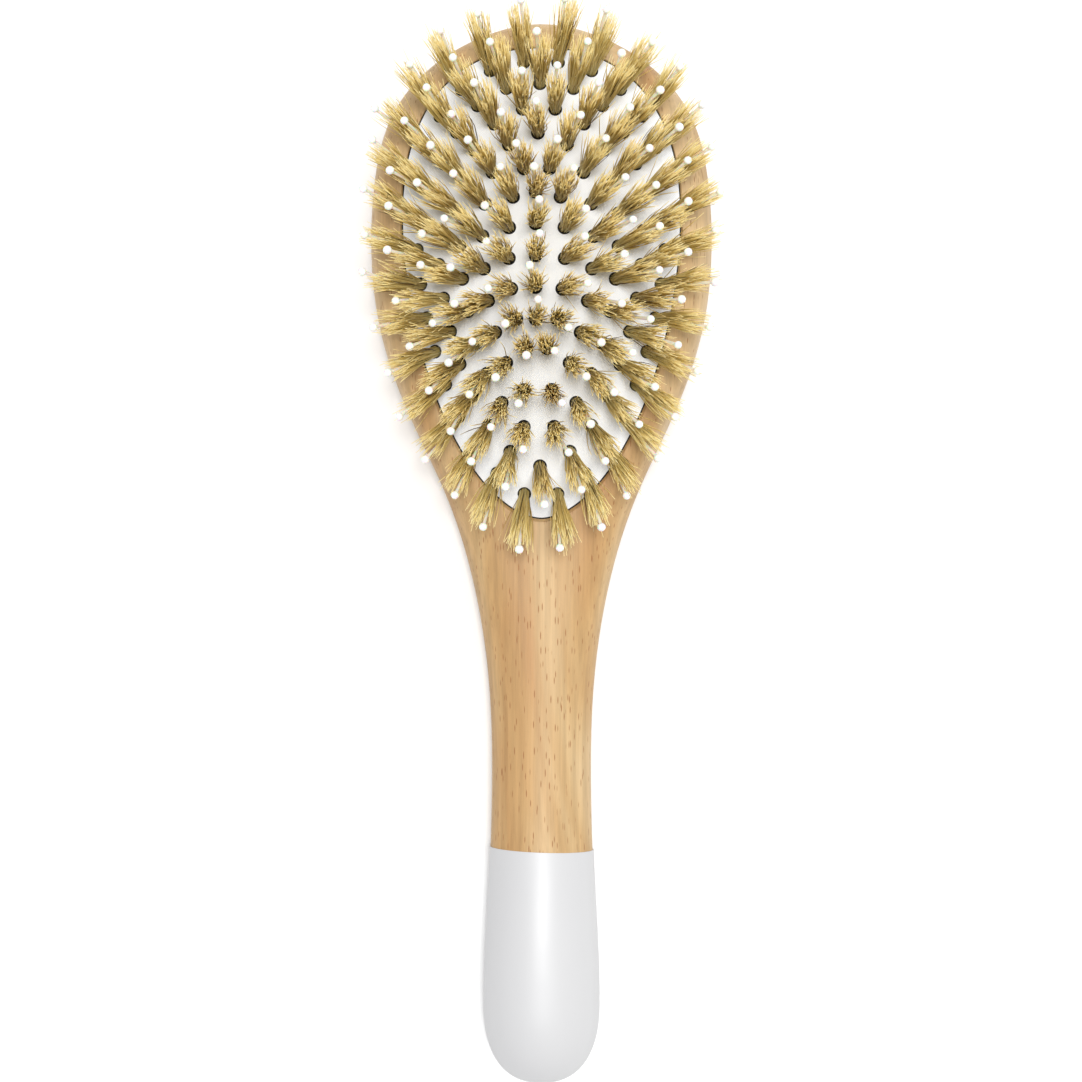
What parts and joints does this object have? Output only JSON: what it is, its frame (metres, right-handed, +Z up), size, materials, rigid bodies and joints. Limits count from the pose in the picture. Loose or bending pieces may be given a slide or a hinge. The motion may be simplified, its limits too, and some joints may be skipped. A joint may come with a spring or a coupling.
{
  "type": "cushioned hairbrush",
  "caption": "Oval wooden vanity hairbrush with a white-dipped handle and a springy cushion of bristle tufts mixed with ball-tipped nylon pins.",
  "frame": {"origin": "under the middle of the brush, on the surface that the back of the head rests on", "axes": "+Z up through the bristles, +Y along the brush towards the head's toe, X across its width"},
  "size_m": [0.0714, 0.2202, 0.041],
  "materials": {
    "beech_wood": "satin",
    "white_lacquer": "satin",
    "natural_rubber": "matte",
    "woven_facing": "matte",
    "boar_bristle": "satin",
    "white_nylon": "gloss",
    "steel_wire": "satin"
  },
  "bodies": {
    "root": {"wood_body": "beech_wood", "handle_dip_coat": "white_lacquer", "cushion_rubber": "natural_rubber", "cushion_facing": "woven_facing"},
    "crown": {"bristle_tufts_spine": "boar_bristle", "nylon_pins_spine": "white_nylon", "wire_anchors_spine": "steel_wire", "bristle_tufts_ring_1": "boar_bristle", "nylon_pins_ring_1": "white_nylon", "wire_anchors_ring_1": "steel_wire"},
    "ring_2": {"bristle_tufts_ring_2": "boar_bristle", "nylon_pins_ring_2": "white_nylon", "wire_anchors_ring_2": "steel_wire"},
    "ring_3": {"bristle_tufts_ring_3": "boar_bristle", "nylon_pins_ring_3": "white_nylon", "wire_anchors_ring_3": "steel_wire"},
    "ring_4": {"bristle_tufts_ring_4": "boar_bristle", "nylon_pins_ring_4": "white_nylon", "wire_anchors_ring_4": "steel_wire"},
    "ring_5": {"bristle_tufts_ring_5": "boar_bristle", "nylon_pins_ring_5": "white_nylon", "wire_anchors_ring_5": "steel_wire"}
  },
  "joints": [
    {"name": "cushion_press", "type": "slide", "parent": "root", "child": "crown", "axis": [0, 0, -1], "range_m": [0, 0.004], "stiffness_N_per_m": 1200, "deforming": ["cushion_rubber", "cushion_facing"]},
    {"name": "ring_2_press", "type": "slide", "parent": "root", "child": "ring_2", "axis": [0, 0, -1], "range_m": [0, 0.00396]},
    {"name": "ring_3_press", "type": "slide", "parent": "root", "child": "ring_3", "axis": [0, 0, -1], "range_m": [0, 0.00363]},
    {"name": "ring_4_press", "type": "slide", "parent": "root", "child": "ring_4", "axis": [0, 0, -1], "range_m": [0, 0.00252]},
    {"name": "ring_5_press", "type": "slide", "parent": "root", "child": "ring_5", "axis": [0, 0, -1], "range_m": [0, 0.00067]}
  ],
  "couplings": [
    {"joint": "ring_2_press", "follows": "cushion_press", "ratio": 0.9882},
    {"joint": "ring_3_press", "follows": "cushion_press", "ratio": 0.9053},
    {"joint": "ring_4_press", "follows": "cushion_press", "ratio": 0.6285},
    {"joint": "ring_5_press", "follows": "cushion_press", "ratio": 0.1662}
  ]
}
